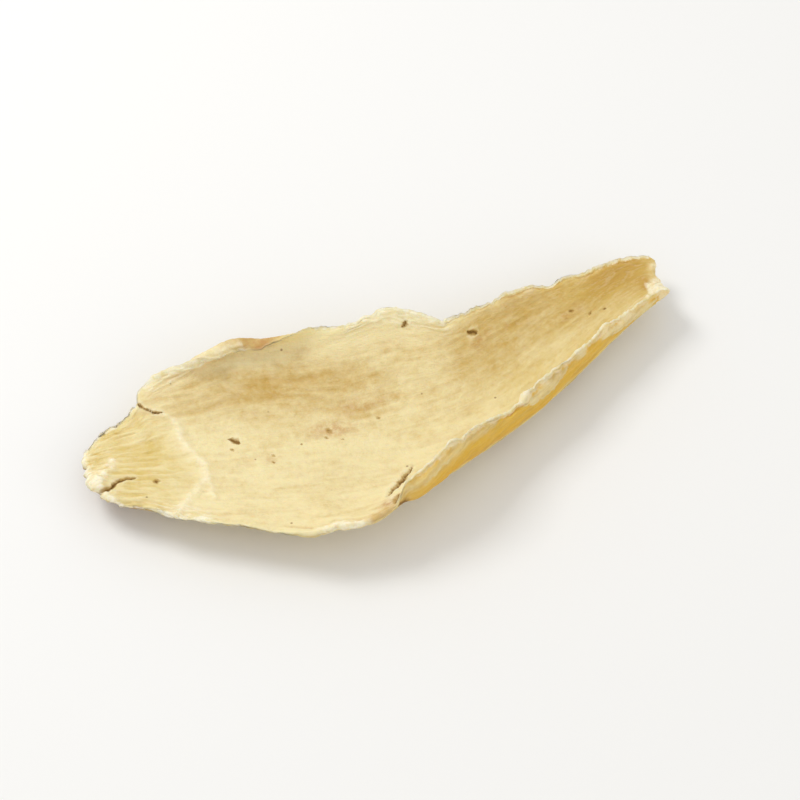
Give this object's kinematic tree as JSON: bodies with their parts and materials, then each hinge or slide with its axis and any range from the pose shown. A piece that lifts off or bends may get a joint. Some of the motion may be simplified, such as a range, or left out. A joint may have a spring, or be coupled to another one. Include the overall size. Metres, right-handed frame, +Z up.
{
  "type": "dried lily bulb scale",
  "caption": "Single dried lily bulb scale, a shallow lopsided trough with rolled margins, a torn base and a narrow blunt tip, lying on its belly.",
  "frame": {"origin": "on the small flat of the belly that the scale rests on, below its centre of mass", "axes": "+X from the torn base to the tip, +Y towards the margin with the rolled lip, +Z up out of the hollow face"},
  "size_m": [0.0475, 0.0188, 0.0066],
  "materials": {
    "dried_flesh": "satin"
  },
  "bodies": {
    "root": {"lily_scale": "dried_flesh"}
  },
  "joints": []
}
